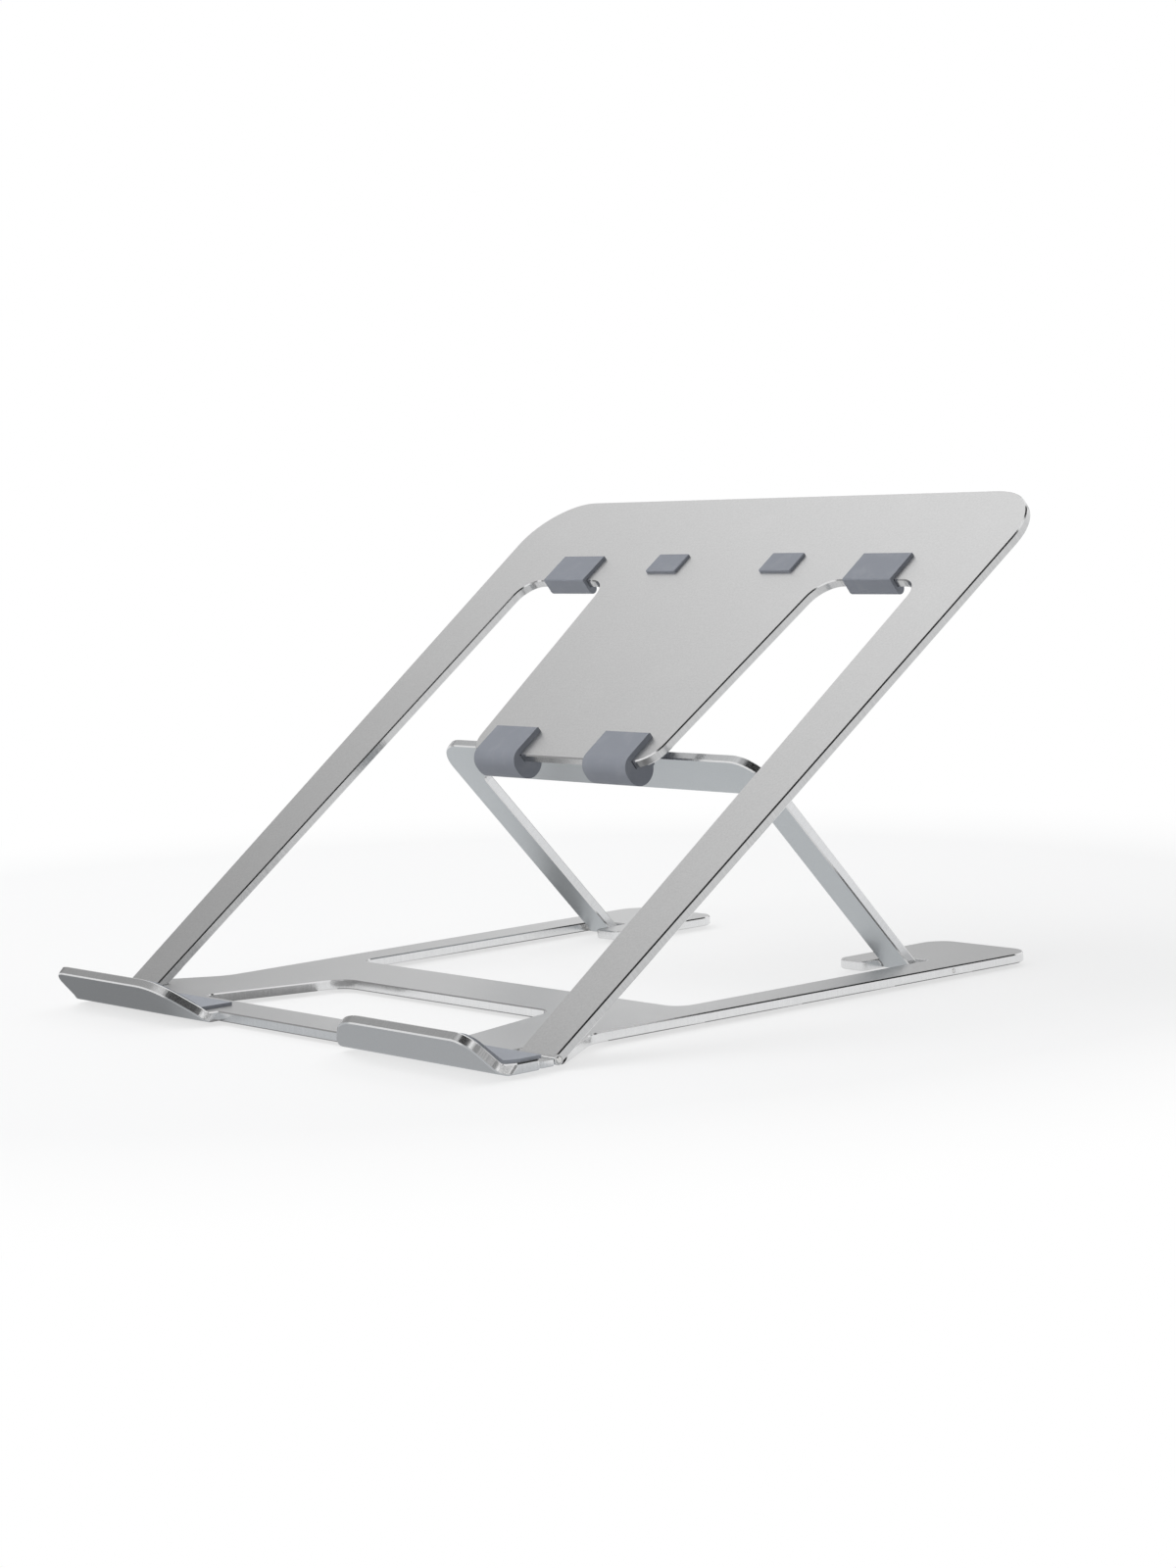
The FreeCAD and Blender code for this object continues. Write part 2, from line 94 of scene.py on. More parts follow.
# Rubber, pins and washers.
SKIN_GRAIN_TONE = 0.12
SKIN_PATCH_TONE = 0.08
SKIN_PATCHES_PER_METRE = 160.0
DUST_SPAN = (0.5, 0.8)
DUST_ROUGHNESS = 0.25
RUBBER_SHINE = 0.42
PIN_LINES_PER_METRE = (9000.0, 300.0, 300.0)
PIN_LINE_SHARE = 0.35
PIN_ROUGHNESS = 0.16
PIN_LINE_ROUGHNESS = 0.2
WASHER_ROUGHNESS = 0.32
WASHER_GRAIN_ROUGHNESS = 0.12

# Floor: a plate that runs out into the white backdrop between two distances from
# FLOOR_MIDDLE. FLOOR_WHITE is the share of that white that it already shows by the stand.
FLOOR_WIDTH = 60.0
FLOOR_DROP = -0.0002
FLOOR_MIDDLE = (-0.12, 0.03, 0.0)
FLOOR_FADE = (0.12, 0.46)
FLOOR_WHITE = 0.66
FLOOR_PALE = ((0.80, 0.80, 0.80), (0.83, 0.83, 0.83))
FLOOR_ROUGHNESS = 0.75
FLOOR_UNEVENNESS = 0.1
FLOOR_SHINE = 0.2

# Room light from the world: bright on the left, dim on the right, with the turn between.
ROOM_LEFT = (0.78, 0.79, 0.80)
ROOM_RIGHT = (0.28, 0.285, 0.295)
ROOM_TURN = (-0.8, 0.8)
WHITE = (1.0, 1.0, 1.0, 1.0)
BLACK = (0.0, 0.0, 0.0, 1.0)

# Softboxes: name, place, size, power. All look at one point in the middle of the stand.
LIGHT_AIM = (0.0, 0.0, 0.05)
SOFTBOXES = [
    ("upper_left_softbox", (-0.9, -0.6, 1.4), (1.4, 1.4), 15.0),
    ("front_softbox", (0.0, -1.3, 0.35), (0.8, 0.6), 4.5),
    ("upper_rear_softbox", (-0.3, 1.3, 1.3), (1.2, 0.8), 4.0),
]


# Node helpers.


def feed(tree, value, socket):
    """Gives a socket a plain value, or another node's output. None leaves it as it is."""
    if isinstance(value, bpy.types.NodeSocket):
        tree.links.new(value, socket)
    elif value is not None:
        socket.default_value = value


def new_group(name, inputs, outputs):
    """Empty shader group with named sockets: inputs (name, kind, default), outputs (name, kind)."""
    group = bpy.data.node_groups.new(name, "ShaderNodeTree")
    for label, kind, default in inputs:
        socket = group.interface.new_socket(name=label, in_out="INPUT", socket_type=kind)
        if default is not None:
            socket.default_value = default
    for label, kind in outputs:
        group.interface.new_socket(name=label, in_out="OUTPUT", socket_type=kind)
    entry = group.nodes.new("NodeGroupInput")
    leave = group.nodes.new("NodeGroupOutput")
    return group, entry.outputs, leave.inputs


def math_node(tree, operation, first, second=None):
    node = tree.nodes.new("ShaderNodeMath")
    node.operation = operation
    feed(tree, first, node.inputs[0])
    feed(tree, second, node.inputs[1])
    return node.outputs[0]


def scaled_sum(tree, value, share, start):
    """value * share + start."""
    return math_node(tree, "ADD", math_node(tree, "MULTIPLY", value, share), start)


def swing(tree, value, amount):
    """How far a noise value lies from its middle, times amount."""
    return math_node(tree, "MULTIPLY", math_node(tree, "SUBTRACT", value, 0.5), amount)


def vector_node(tree, operation, first, second=None, scale=None):
    node = tree.nodes.new("ShaderNodeVectorMath")
    node.operation = operation
    feed(tree, first, node.inputs[0])
    feed(tree, second, node.inputs[1])
    if scale is not None:
        feed(tree, scale, node.inputs["Scale"])
    gives_number = operation in ("DOT_PRODUCT", "LENGTH")
    return node.outputs["Value" if gives_number else "Vector"]


def ramp(tree, value, from_ends, to_ends=(0.0, 1.0), smooth=True):
    """Value carried from one span to another, in a smooth or a straight run."""
    node = tree.nodes.new("ShaderNodeMapRange")
    node.interpolation_type = "SMOOTHSTEP" if smooth else "LINEAR"
    feed(tree, value, node.inputs["Value"])
    feed(tree, from_ends[0], node.inputs["From Min"])
    feed(tree, from_ends[1], node.inputs["From Max"])
    feed(tree, to_ends[0], node.inputs["To Min"])
    feed(tree, to_ends[1], node.inputs["To Max"])
    return node.outputs["Result"]


def mix_colour(tree, factor, first, second, blend="MIX"):
    node = tree.nodes.new("ShaderNodeMix")
    node.data_type = "RGBA"
    node.blend_type = blend
    feed(tree, factor, node.inputs[0])
    for colour, socket in ((first, node.inputs[6]), (second, node.inputs[7])):
        feed(tree, (*colour, 1.0) if isinstance(colour, tuple) else colour, socket)
    return node.outputs[2]


def toned(tree, colour, tone):
    """Colour made lighter or darker by a tone around 1."""
    return mix_colour(tree, 1.0, colour, tone, "MULTIPLY")


def mix_value(tree, factor, first, second):
    node = tree.nodes.new("ShaderNodeMix")
    node.data_type = "FLOAT"
    feed(tree, factor, node.inputs[0])
    feed(tree, first, node.inputs[2])
    feed(tree, second, node.inputs[3])
    return node.outputs[0]


def noise(tree, vector, scale, detail, rough):
    node = tree.nodes.new("ShaderNodeTexNoise")
    feed(tree, vector, node.inputs["Vector"])
    feed(tree, scale, node.inputs["Scale"])
    feed(tree, detail, node.inputs["Detail"])
    feed(tree, rough, node.inputs["Roughness"])
    return node.outputs["Fac"]


def split_place(tree, place):
    parts = tree.nodes.new("ShaderNodeSeparateXYZ")
    tree.links.new(place, parts.inputs[0])
    return parts.outputs


# Shared effects.


def make_blast_grain():
    """Bead blasted skin: fine speckle, a slow mottle, and the height of the pits."""
    group, given, out = new_group(
        "blast_grain",
        [("Vector", "NodeSocketVector", None), ("Grains per metre", "NodeSocketFloat", 1900.0),
         ("Speckle", "NodeSocketFloat", 0.10), ("Mottle", "NodeSocketFloat", 0.03)],
        [("Tone", "NodeSocketFloat"), ("Height", "NodeSocketFloat"),
         ("Roughness shift", "NodeSocketFloat")])
    fine = noise(group, given["Vector"], given["Grains per metre"], detail=2.0, rough=0.6)
    pits = group.nodes.new("ShaderNodeTexVoronoi")
    pits.feature = "SMOOTH_F1"
    group.links.new(given["Vector"], pits.inputs["Vector"])
    group.links.new(given["Grains per metre"], pits.inputs["Scale"])
    slow = noise(group, given["Vector"], scale=70.0, detail=3.0, rough=0.55)
    fine_shift = swing(group, fine, given["Speckle"])
    slow_shift = swing(group, slow, given["Mottle"])
    both = math_node(group, "ADD", fine_shift, slow_shift)
    group.links.new(math_node(group, "ADD", both, 1.0), out["Tone"])
    height = scaled_sum(group, fine, SPECKLE_HEIGHT, pits.outputs["Distance"])
    group.links.new(height, out["Height"])
    fine_part = math_node(group, "MULTIPLY", fine_shift, SPECKLE_ROUGHNESS)
    rough = scaled_sum(group, slow_shift, MOTTLE_ROUGHNESS, fine_part)
    group.links.new(rough, out["Roughness shift"])
    return group


def make_sheet_sides():
    """Tells a sheet's broad faces from its cut edge and its bevels by the surface's direction."""
    group, given, out = new_group(
        "sheet_sides",
        [("Sheet direction", "NodeSocketVector", UP)],
        [("Cut edge", "NodeSocketFloat"), ("Bevel", "NodeSocketFloat")])
    surface = group.nodes.new("ShaderNodeTexCoord").outputs["Normal"]
    across = vector_node(group, "DOT_PRODUCT", surface, given["Sheet direction"])
    facing = math_node(group, "ABSOLUTE", across)
    off_face = ramp(group, facing, FACE_TO_BEVEL)
    on_edge = ramp(group, facing, BEVEL_TO_EDGE)
    group.links.new(on_edge, out["Cut edge"])
    off_edge = math_node(group, "SUBTRACT", 1.0, on_edge)
    group.links.new(math_node(group, "MULTIPLY", off_face, off_edge), out["Bevel"])
    return group


def make_handling_wear():
    """Soft scuffs and hairline rubs from handling, as two masks."""
    group, given, out = new_group(
        "handling_wear",
        [("Vector", "NodeSocketVector", None), ("Amount", "NodeSocketFloat", 0.5)],
        [("Scuffs", "NodeSocketFloat"), ("Hairlines", "NodeSocketFloat")])
    cloud = noise(group, given["Vector"], SCUFF_CLOUDS_PER_METRE, detail=5.0, rough=0.62)
    scuffs = ramp(group, cloud, SCUFF_SPAN)
    group.links.new(math_node(group, "MULTIPLY", scuffs, given["Amount"]), out["Scuffs"])
    stretched = vector_node(group, "MULTIPLY", given["Vector"], HAIRLINES_PER_METRE)
    streaks = noise(group, stretched, scale=1.0, detail=1.0, rough=0.4)
    lines = ramp(group, streaks, HAIRLINE_SPAN)
    group.links.new(math_node(group, "MULTIPLY", lines, given["Amount"]), out["Hairlines"])
    return group


def make_moulded_skin():
    """Fine moulded skin of rubber and plastic: soft grain, its height, and dust in patches."""
    group, given, out = new_group(
        "moulded_skin",
        [("Vector", "NodeSocketVector", None), ("Grains per metre", "NodeSocketFloat", 2600.0),
         ("Dust", "NodeSocketFloat", 0.15)],
        [("Tone", "NodeSocketFloat"), ("Height", "NodeSocketFloat"),
         ("Dust mask", "NodeSocketFloat")])
    grain = noise(group, given["Vector"], given["Grains per metre"], detail=3.0, rough=0.6)
    patches = noise(group, given["Vector"], SKIN_PATCHES_PER_METRE, detail=4.0, rough=0.6)
    tone = math_node(group, "ADD", swing(group, grain, SKIN_GRAIN_TONE), 1.0)
    tone = math_node(group, "ADD", tone, swing(group, patches, SKIN_PATCH_TONE))
    group.links.new(tone, out["Tone"])
    group.links.new(grain, out["Height"])
    dusty = ramp(group, patches, DUST_SPAN)
    group.links.new(math_node(group, "MULTIPLY", dusty, given["Dust"]), out["Dust mask"])
    return group


BLAST_GRAIN = make_blast_grain()
SHEET_SIDES = make_sheet_sides()
HANDLING_WEAR = make_handling_wear()
MOULDED_SKIN = make_moulded_skin()


# Materials.


def use_group(tree, group, **values):
    """Places a shared effect. A value's name is its socket's, with _ for each space."""
    node = tree.nodes.new("ShaderNodeGroup")
    node.node_tree = group
    for label, value in values.items():
        feed(tree, value, node.inputs[label.replace("_", " ")])
    return node.outputs


def start_material(name):
    material = bpy.data.materials.new(name)
    material.use_nodes = True
    tree = material.node_tree
    tree.nodes.clear()
    shader = tree.nodes.new("ShaderNodeBsdfPrincipled")
    output = tree.nodes.new("ShaderNodeOutputMaterial")
    tree.links.new(shader.outputs["BSDF"], output.inputs["Surface"])
    place = tree.nodes.new("ShaderNodeTexCoord").outputs["Object"]
    return material, tree, shader, place


def connect_bump(tree, shader, height, strength, depth):
    bump = tree.nodes.new("ShaderNodeBump")
    feed(tree, depth, bump.inputs["Distance"])
    feed(tree, height, bump.inputs["Height"])
    feed(tree, strength, bump.inputs["Strength"])
    tree.links.new(bump.outputs["Normal"], shader.inputs["Normal"])


def sheet_material(name, face_colour, edge_colour, direction,
                   grains, speckle, roughness, edge_speckle):
    """Blasted sheet metal with its cut edges, whose fine lines run across the thickness, and
    polished bevels. direction(tree, place) gives the way that the sheet faces."""
    material, tree, shader, place = start_material(name)
    facing = direction(tree, place)
    sides = use_group(tree, SHEET_SIDES, Sheet_direction=facing)
    grain = use_group(tree, BLAST_GRAIN, Vector=place, Grains_per_metre=grains,
                      Speckle=speckle, Mottle=FACE_MOTTLE)
    depth = vector_node(tree, "DOT_PRODUCT", place, facing)
    in_sheet = vector_node(
        tree, "SUBTRACT", place, vector_node(tree, "SCALE", facing, scale=depth))
    edge_grain = use_group(tree, BLAST_GRAIN, Vector=in_sheet,
                           Grains_per_metre=EDGE_GRAINS_PER_METRE,
                           Speckle=edge_speckle, Mottle=EDGE_MOTTLE)
    wear = use_group(tree, HANDLING_WEAR, Vector=place, Amount=WEAR_AMOUNT)

    face = toned(tree, face_colour, grain["Tone"])
    edge = toned(tree, edge_colour, edge_grain["Tone"])
    colour = mix_colour(tree, sides["Cut edge"], face, edge)
    colour = mix_colour(tree, sides["Bevel"], colour, BEVEL)
    hairlines = math_node(tree, "MULTIPLY", wear["Hairlines"], HAIRLINE_SHARE)
    colour = mix_colour(tree, hairlines, colour, HAIRLINE)
    tree.links.new(colour, shader.inputs["Base Color"])

    rough = math_node(tree, "ADD", grain["Roughness shift"], roughness)
    polish = math_node(tree, "MULTIPLY", wear["Scuffs"], SCUFF_POLISH)
    rough = math_node(tree, "SUBTRACT", rough, polish)
    edge_rough = math_node(tree, "ADD", edge_grain["Roughness shift"], EDGE_ROUGHNESS)
    rough = mix_value(tree, sides["Cut edge"], rough, edge_rough)
    rough = mix_value(tree, sides["Bevel"], rough, BEVEL_ROUGHNESS)
    tree.links.new(rough, shader.inputs["Roughness"])

    shader.inputs["Metallic"].default_value = 1.0
    height = mix_value(tree, sides["Cut edge"], grain["Height"], edge_grain["Height"])
    grain_left = mix_value(tree, sides["Bevel"], 1.0, BEVEL_GRAIN_LEFT)
    connect_bump(tree, shader, math_node(tree, "MULTIPLY", height, grain_left), *SHEET_BUMP)
    return material


def flat_direction(facing):
    """One direction for the whole of a flat sheet."""
    def direction(tree, place):
        node = tree.nodes.new("ShaderNodeCombineXYZ")
        for socket, value in zip(node.inputs, facing):
            socket.default_value = value
        return node.outputs[0]
    return direction


def base_direction(tree, place):
    """The base lies flat, and in front of the bend line it turns up into the lips."""
    turn = ramp(tree, split_place(tree, place)["Y"], (LIP_BEND_Y, LIP_BEND_Y - LIP_BEND_RUN))
    angle = math_node(tree, "MULTIPLY", turn, LIP_SLANT)
    node = tree.nodes.new("ShaderNodeCombineXYZ")
    tree.links.new(math_node(tree, "SINE", angle), node.inputs["Y"])
    tree.links.new(math_node(tree, "COSINE", angle), node.inputs["Z"])
    return node.outputs[0]


def rubber_material(name, colour, grains, dust, roughness):
    material, tree, shader, place = start_material(name)
    skin = use_group(tree, MOULDED_SKIN, Vector=place, Grains_per_metre=grains, Dust=dust)
    body = mix_colour(tree, skin["Dust mask"], toned(tree, colour, skin["Tone"]), RUBBER_DUST)
    tree.links.new(body, shader.inputs["Base Color"])
    rough = scaled_sum(tree, skin["Dust mask"], DUST_ROUGHNESS, roughness)
    tree.links.new(rough, shader.inputs["Roughness"])
    shader.inputs["Specular IOR Level"].default_value = RUBBER_SHINE
    connect_bump(tree, shader, skin["Height"], *RUBBER_BUMP)
    return material


def pin_material(name):
    """Turned steel, with fine lines round the shaft."""
    material, tree, shader, place = start_material(name)
    grain = use_group(tree, BLAST_GRAIN, Vector=place, Grains_per_metre=4200.0,
                      Speckle=0.16, Mottle=0.05)
    stretched = vector_node(tree, "MULTIPLY", place, PIN_LINES_PER_METRE)
    turned = noise(tree, stretched, scale=1.0, detail=1.0, rough=0.5)
    colour = toned(tree, PIN_STEEL, grain["Tone"])
    bright = math_node(tree, "MULTIPLY", turned, PIN_LINE_SHARE)
    tree.links.new(mix_colour(tree, bright, colour, PIN_SHINE), shader.inputs["Base Color"])
    rough = scaled_sum(tree, turned, PIN_LINE_ROUGHNESS, PIN_ROUGHNESS)
    tree.links.new(rough, shader.inputs["Roughness"])
    shader.inputs["Metallic"].default_value = 1.0
    connect_bump(tree, shader, turned, *PIN_BUMP)
    return material


def washer_material(name):
    material, tree, shader, place = start_material(name)
    skin = use_group(tree, MOULDED_SKIN, Vector=place, Grains_per_metre=3200.0, Dust=0.05)
    tree.links.new(toned(tree, WASHER_PLASTIC, skin["Tone"]), shader.inputs["Base Color"])
    rough = scaled_sum(tree, skin["Tone"], WASHER_GRAIN_ROUGHNESS, WASHER_ROUGHNESS)
    tree.links.new(rough, shader.inputs["Roughness"])
    connect_bump(tree, shader, skin["Height"], *WASHER_BUMP)
    return material


def seen_or_mirrored(tree):
    """1 for rays from the camera and for those that metal or glass sends on, else 0."""
    path = tree.nodes.new("ShaderNodeLightPath").outputs
    seen = math_node(tree, "MAXIMUM", path["Is Camera Ray"], path["Is Glossy Ray"])
    return math_node(tree, "MAXIMUM", seen, path["Is Transmission Ray"])


def floor_material():
    """Pale studio floor that runs out into the white backdrop away from the stand."""
    material, tree, shader, place = start_material("studio_floor")
    soft = noise(tree, place, scale=3.0, detail=3.0, rough=0.5)
    tree.links.new(mix_colour(tree, soft, *FLOOR_PALE), shader.inputs["Base Color"])
    rough = scaled_sum(tree, soft, FLOOR_UNEVENNESS, FLOOR_ROUGHNESS)
    tree.links.new(rough, shader.inputs["Roughness"])
    shader.inputs["Specular IOR Level"].default_value = FLOOR_SHINE
    seen = seen_or_mirrored(tree)
    near_white = math_node(tree, "MULTIPLY", seen, FLOOR_WHITE)
    from_middle = vector_node(tree, "SUBTRACT", place, FLOOR_MIDDLE)
    away = ramp(tree, vector_node(tree, "LENGTH", from_middle), FLOOR_FADE)
    away = math_node(tree, "MAXIMUM", away, near_white)
    white = tree.nodes.new("ShaderNodeEmission")
    white.inputs["Color"].default_value = WHITE
    blend = tree.nodes.new("ShaderNodeMixShader")
    tree.links.new(math_node(tree, "MULTIPLY", seen, away), blend.inputs[0])
    tree.links.new(shader.outputs[0], blend.inputs[1])
    tree.links.new(white.outputs[0], blend.inputs[2])
    tree.links.new(blend.outputs[0], tree.nodes["Material Output"].inputs["Surface"])
    return material


# Finishes on the pieces.

MATERIALS = {
    "base_plate": sheet_material(
        "base_blasted_aluminium", BASE_FACE, BASE_EDGE, base_direction,
        grains=1900.0, speckle=0.22, roughness=0.40, edge_speckle=0.16),
    "panel": sheet_material(
        "panel_blasted_aluminium", PANEL_FACE, PANEL_EDGE, flat_direction(PANEL_FACING),
        grains=1500.0, speckle=0.26, roughness=0.44, edge_speckle=0.34),
    "support_bracket": sheet_material(
        "bracket_blasted_aluminium", BRACKET_FACE, BRACKET_EDGE, flat_direction(BRACKET_FACING),
        grains=2100.0, speckle=0.14, roughness=0.38, edge_speckle=0.16),
}
grey_rubber = rubber_material(
    "pad_grey_rubber", PAD_RUBBER, grains=2600.0, dust=0.15, roughness=0.62)
# Painted light: the pads' rubber made lighter for the liner, against the shade under the lips.
liner_rubber_with_painted_light = rubber_material(
    "liner_grey_rubber_painted_light", LINER_RUBBER_WITH_PAINTED_LIGHT, grains=2600.0, dust=0.15, roughness=0.62)
foot_rubber = rubber_material(
    "foot_grey_rubber", FOOT_RUBBER, grains=2200.0, dust=0.25, roughness=0.68)
pin_steel = pin_material("pin_turned_steel")
washer_plastic = washer_material("washer_smooth_plastic")

PAIR_FINISHES = {
    "lip_liner": liner_rubber_with_painted_light,
    "edge_hook": grey_rubber,
    "window_clip": grey_rubber,
    "small_pad": grey_rubber,
    "front_foot": foot_rubber,
    "rear_foot": foot_rubber,
    "front_pin": pin_steel,
    "rear_pin": pin_steel,
    "front_washer": washer_plastic,
    "inner_washer": washer_plastic,
    "outer_washer": washer_plastic,
}
for pair, finish in PAIR_FINISHES.items():
    MATERIALS[pair + "_left"] = finish
    MATERIALS[pair + "_right"] = finish

for name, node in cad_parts.items():
    node.data.materials.clear()
    node.data.materials.append(MATERIALS[name])


# Studio: floor and cards.


def make_plate(name, size, finish):
    """Flat one-faced plate of the studio that lies face up with its middle at the origin."""
    x, y = size[0] / 2, size[1] / 2
    mesh = bpy.data.meshes.new(name)
    mesh.from_pydata([(-x, -y, 0), (x, -y, 0), (x, y, 0), (-x, y, 0)], [], [(0, 1, 2, 3)])
    mesh.materials.append(finish)
    plate = bpy.data.objects.new(name, mesh)
    bpy.context.scene.collection.objects.link(plate)
    return plate


def aimed(place, facing):
    """Placement of a plate or lamp that stands at place with its own Z along facing."""
    turn = Vector(facing).to_track_quat("Z", "Y").to_matrix().to_4x4()
    return Matrix.Translation(place) @ turn


def make_card(name, place, facing, size, finish):
    """Studio card seen only in the metal's reflections."""
    card = make_plate(name, size, finish)
    card.matrix_world = aimed(place, facing)
    card.visible_camera = False
    card.visible_diffuse = False
    card.visible_shadow = False
    card.visible_transmission = False


def cloth_finish(name, shade):
    material, tree, shader, place = start_material(name)
    weave = noise(tree, place, scale=400.0, detail=2.0, rough=0.5)
    pale = tuple(channel * 1.3 for channel in shade)
    tree.links.new(mix_colour(tree, weave, shade, pale), shader.inputs["Base Color"])
    shader.inputs["Roughness"].default_value = CLOTH_ROUGHNESS
    return material


def graded_finish(name, along, start, end, tint=(1.0, 1.0, 1.0)):
    """Finish that glows in a grey, which runs along a direction from start to end, each of
    them given as (place along the direction, brightness). A faint weave varies it."""
    material, tree, shader, place = start_material(name)
    spot = tree.nodes.new("ShaderNodeNewGeometry").outputs["Position"]
    reach = vector_node(tree, "DOT_PRODUCT", spot, tuple(along))
    grey = ramp(tree, reach, (start[0], end[0]), (start[1], end[1]), smooth=False)
    weave = noise(tree, place, scale=60.0, detail=2.0, rough=0.5)
    level = math_node(tree, "MULTIPLY", grey, scaled_sum(tree, weave, *CARD_WEAVE))
    shade = tree.nodes.new("ShaderNodeCombineColor")
    for channel, part in zip(shade.inputs[:3], tint):
        tree.links.new(math_node(tree, "MULTIPLY", level, part), channel)
    tree.links.new(shade.outputs[0], shader.inputs["Emission Color"])
    shader.inputs["Emission Strength"].default_value = 1.0
    shader.inputs["Base Color"].default_value = BLACK
    shader.inputs["Specular IOR Level"].default_value = 0.0
    return material


def way(x, y, z):
    return Vector((x, y, z)).normalized()


# Dark cloth flags far above, which draw the dark lines along the bevels: name, way, size.
FLAG_DISTANCE = 1.5
FLAG_CLOTH = (0.02, 0.02, 0.02)
CLOTH_ROUGHNESS = 0.9
CLOTH_FLAGS = [
    ("dark_flag", way(0.55, -0.12, 0.80), (1.0, 1.0)),
    ("front_flag", way(0.36, -0.40, 0.84), (1.0, 0.85)),
    ("rear_flag", way(0.16, 0.66, 0.73), (0.85, 0.6)),
]

# Grey cards. CARD_WEAVE is how far the weave changes the grey, and its lowest share.
CARD_WEAVE = (0.04, 0.98)
UPPER_WAY = way(-0.764, 0.094, 0.638)
UPPER_MIDDLE = Vector((0.0, 0.010, 0.080)) + UPPER_WAY * 0.70
UPPER_RISE = way(0.437, 0.803, 0.405)
UPPER_REACH = UPPER_MIDDLE.dot(UPPER_RISE)
LOW_WAY = way(-0.764, 0.638, 0.0)
LOW_MIDDLE = LOW_WAY * 1.2 + Vector((0.0, 0.0, 0.36))
LIP_WAY = way(-0.76, -0.10, 0.64)
RIGHT_WAY = way(0.954, 0.201, 0.225)
COOL_TINT = (0.972, 1.0, 1.028)


# Name, middle, facing and size, then the direction in which the grey runs, its start and its
# end as (place along that direction, brightness), and a tint if the card has one.
GREY_CARDS = [
    # Mirrored in the panel's face.
    ("graded_card", UPPER_MIDDLE, -UPPER_WAY, (1.3, 1.3),
     UPPER_RISE, (UPPER_REACH - 0.345, 0.22), (UPPER_REACH + 0.25, 1.0)),
    # Mirrored in the base's upper face.
    ("low_card", LOW_MIDDLE, -LOW_WAY, (1.3, 0.70),
     UP, (0.0, 0.47), (0.7, 0.62)),
    # Painted shade: a glowing sheet on the floor below the lips, darker under the left one and
    # faintly cool, mirrored in their outer faces.
    ("floor_card", Vector((-0.02, -0.120, 0.0003)), UP, (0.30, 0.06),
     ALONG_X, (-0.06, 0.33), (-0.03, 0.585), COOL_TINT),
    # Mirrored in the edges along the tops of the lips.
    ("lip_card", Vector((-0.189, -0.184, 0.182)), -LIP_WAY, (0.16, 0.26),
     ALONG_X, (-0.234, 0.36), (-0.16, 0.375)),
    # Painted shade: a glowing dark sheet on the floor below the base's front opening, mirrored in
    # the edge at the left end of that opening.
    ("window_card", Vector((-0.057, -0.083, 0.0005)), UP, (0.044, 0.057),
     ALONG_Y, (-0.11, 0.26), (-0.05, 0.27)),
    # Mirrored in the flank of the right lip.
    ("right_card", RIGHT_WAY * 1.5, -RIGHT_WAY, (0.8, 0.9),
     UP, (0.1, 0.25), (0.6, 0.31)),
]

# Wide and overhead, mirrored in bevels round corners and in round rubber.
OVERHEAD_CARD = (
    "overhead_card", Vector((-0.05, -0.45, 1.6)), (0.0, 0.27, -0.96), (0.95, 1.1),
    ALONG_X, (-0.5, 0.55), (0.4, 0.50))

# Shade just above the floor that the base's lower bevels mirror: name, then x and y limits
# in mm. left_arm reaches past its arm, whose outer edge shows it to a view from behind.
UNDERSIDE_HEIGHT = 0.4 * MM
UNDERSIDE_SHADE = (ALONG_X, (-0.1, 0.28), (0.1, 0.30))
UNDERSIDE_CARDS = [
    ("right_arm_front", 84.0, 96.4, -58.0, -20.0),
    ("right_arm_middle", 84.0, 97.2, -20.0, 20.0),
    ("right_arm_rear", 84.0, 98.0, 20.0, 60.0),
    ("right_foot_front", 84.0, 98.8, 60.0, 95.0),
    ("right_foot_rear", 84.0, 99.4, 95.0, 118.0),
    ("left_arm", -110.0, -83.5, -30.0, 100.0),
    ("web", -75.0, 85.0, -48.5, -20.0),
    ("front_bar", -50.0, 36.0, -110.5, -98.0),
]


def make_grey_card(name, middle, facing, size, *grey):
    make_card(name, middle, facing, size, graded_finish(name, *grey))


def make_cards():
    cloth = cloth_finish("dark_flag_cloth", FLAG_CLOTH)
    for name, outward, size in CLOTH_FLAGS:
        make_card(name, outward * FLAG_DISTANCE, outward, size, cloth)
    for row in GREY_CARDS:
        make_grey_card(*row)
    shade = graded_finish("underside_card", *UNDERSIDE_SHADE)
    for name, x_low, x_high, y_low, y_high in UNDERSIDE_CARDS:
        middle = Vector(((x_low + x_high) / 2 * MM, (y_low + y_high) / 2 * MM, UNDERSIDE_HEIGHT))
        size = ((x_high - x_low) * MM, (y_high - y_low) * MM)
        make_card(name + "_underside_card", middle, UP, size, shade)
    make_grey_card(*OVERHEAD_CARD)


# Studio: light and camera.


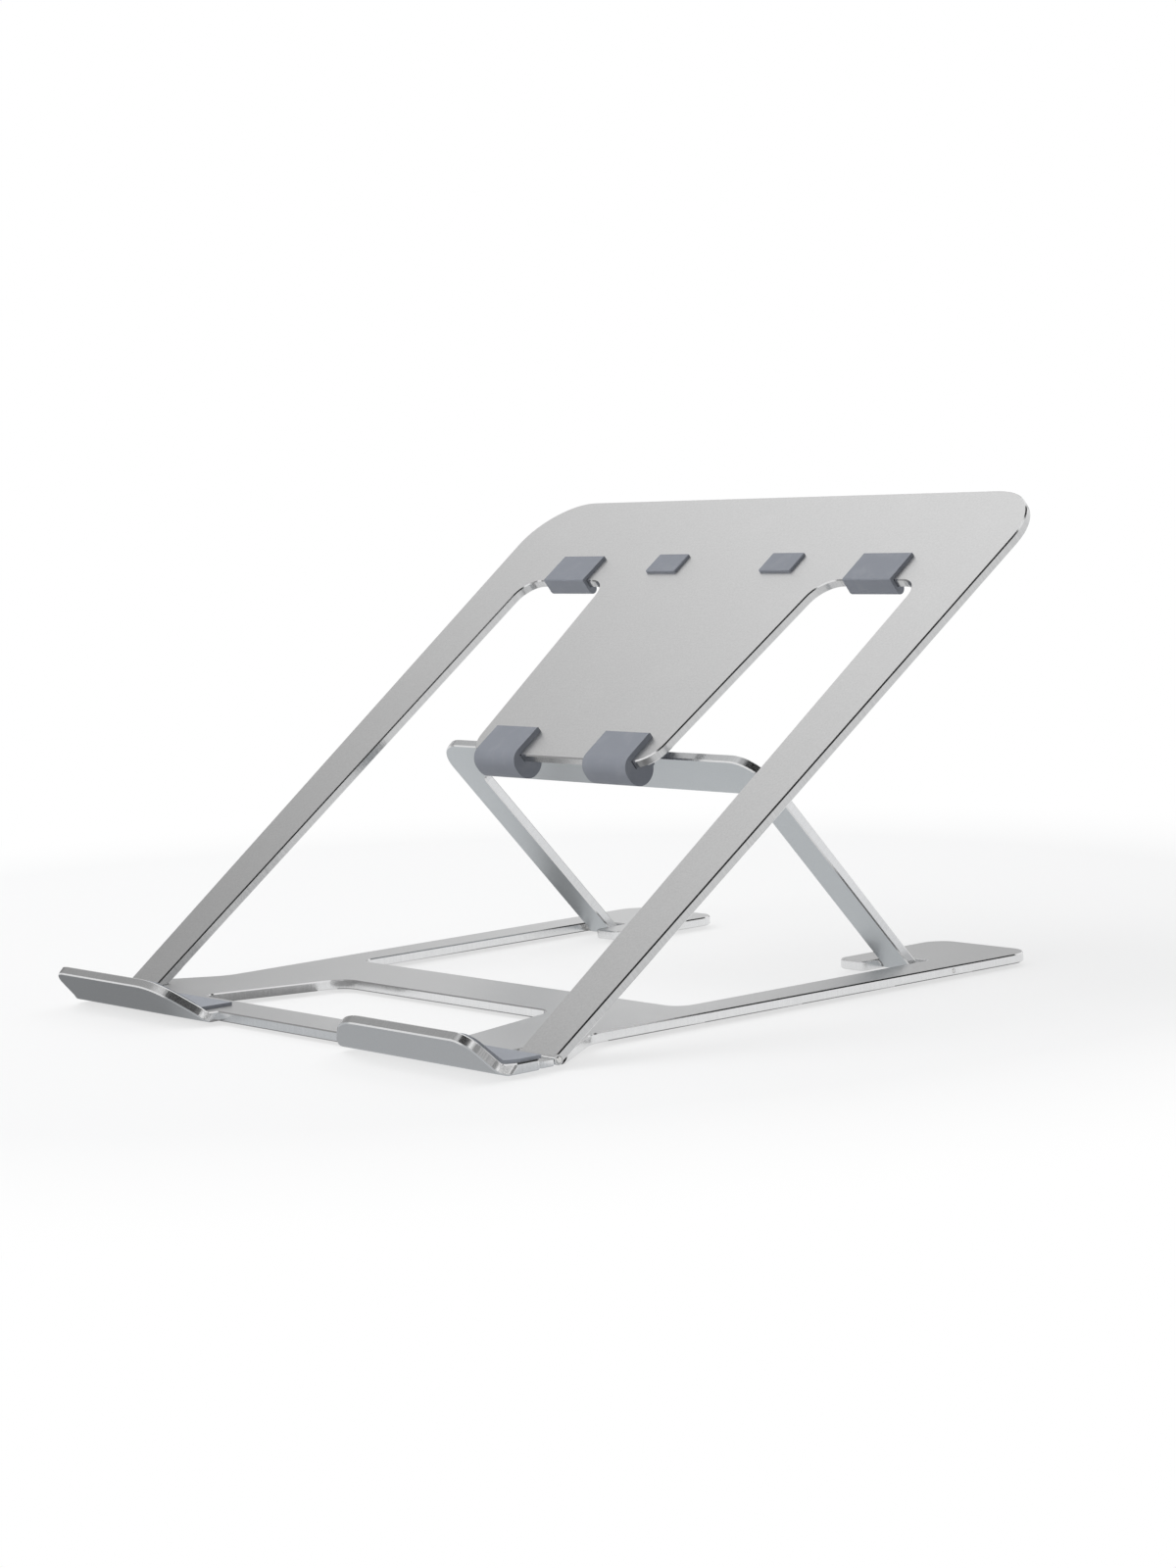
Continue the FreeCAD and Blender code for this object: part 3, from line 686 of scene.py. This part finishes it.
def make_world():
    """Soft room light on the stand, and plain white where the room itself is seen."""
    world = bpy.data.worlds.new("studio_light")
    bpy.context.scene.world = world
    world.use_nodes = True
    tree = world.node_tree
    tree.nodes.clear()
    seen = seen_or_mirrored(tree)
    room = tree.nodes.new("ShaderNodeBackground")
    place = tree.nodes.new("ShaderNodeTexCoord").outputs["Generated"]
    side = ramp(tree, split_place(tree, place)["X"], ROOM_TURN)
    tree.links.new(mix_colour(tree, side, ROOM_LEFT, ROOM_RIGHT), room.inputs["Color"])
    shown = tree.nodes.new("ShaderNodeBackground")
    shown.inputs["Color"].default_value = WHITE
    blend = tree.nodes.new("ShaderNodeMixShader")
    output = tree.nodes.new("ShaderNodeOutputWorld")
    tree.links.new(seen, blend.inputs[0])
    tree.links.new(room.outputs[0], blend.inputs[1])
    tree.links.new(shown.outputs[0], blend.inputs[2])
    tree.links.new(blend.outputs[0], output.inputs["Surface"])


def make_softbox(name, place, size, power):
    """Area lamp that lights the stand but isn't mirrored in its metal."""
    data = bpy.data.lights.new(name, "AREA")
    data.shape = "RECTANGLE"
    data.size, data.size_y = size
    data.energy = power
    light = bpy.data.objects.new(name, data)
    light.visible_glossy = False
    bpy.context.scene.collection.objects.link(light)
    light.matrix_world = aimed(place, Vector(place) - Vector(LIGHT_AIM))


def make_camera():
    """Camera at the photograph's viewing angle."""
    turn, lift, roll = PHOTO_YAW, PHOTO_PITCH, PHOTO_ROLL
    back = Vector((math.sin(turn) * math.cos(lift), -math.cos(turn) * math.cos(lift),
                   math.sin(lift)))
    level = Vector((math.cos(turn), math.sin(turn), 0.0))
    over = back.cross(level)
    right = level * math.cos(roll) + over * math.sin(roll)
    up = over * math.cos(roll) - level * math.sin(roll)
    data = bpy.data.cameras.new("photo_camera")
    data.lens = PHOTO_LENS
    data.sensor_width = SENSOR_WIDTH
    data.sensor_fit = "AUTO"
    data.clip_start = NEAREST_SEEN
    camera = bpy.data.objects.new("photo_camera", data)
    bpy.context.scene.collection.objects.link(camera)
    camera.matrix_world = Matrix((
        (right.x, up.x, back.x, PHOTO_EYE.x),
        (right.y, up.y, back.y, PHOTO_EYE.y),
        (right.z, up.z, back.z, PHOTO_EYE.z),
        (0.0, 0.0, 0.0, 1.0)))
    bpy.context.scene.camera = camera


bpy.context.scene.view_settings.view_transform = "Standard"
floor = make_plate("studio_floor", (FLOOR_WIDTH, FLOOR_WIDTH), floor_material())
floor.location.z = FLOOR_DROP
make_cards()
make_world()
for name, place, size, power in SOFTBOXES:
    make_softbox(name, place, size, power)
make_camera()

bpy.context.view_layer.update()
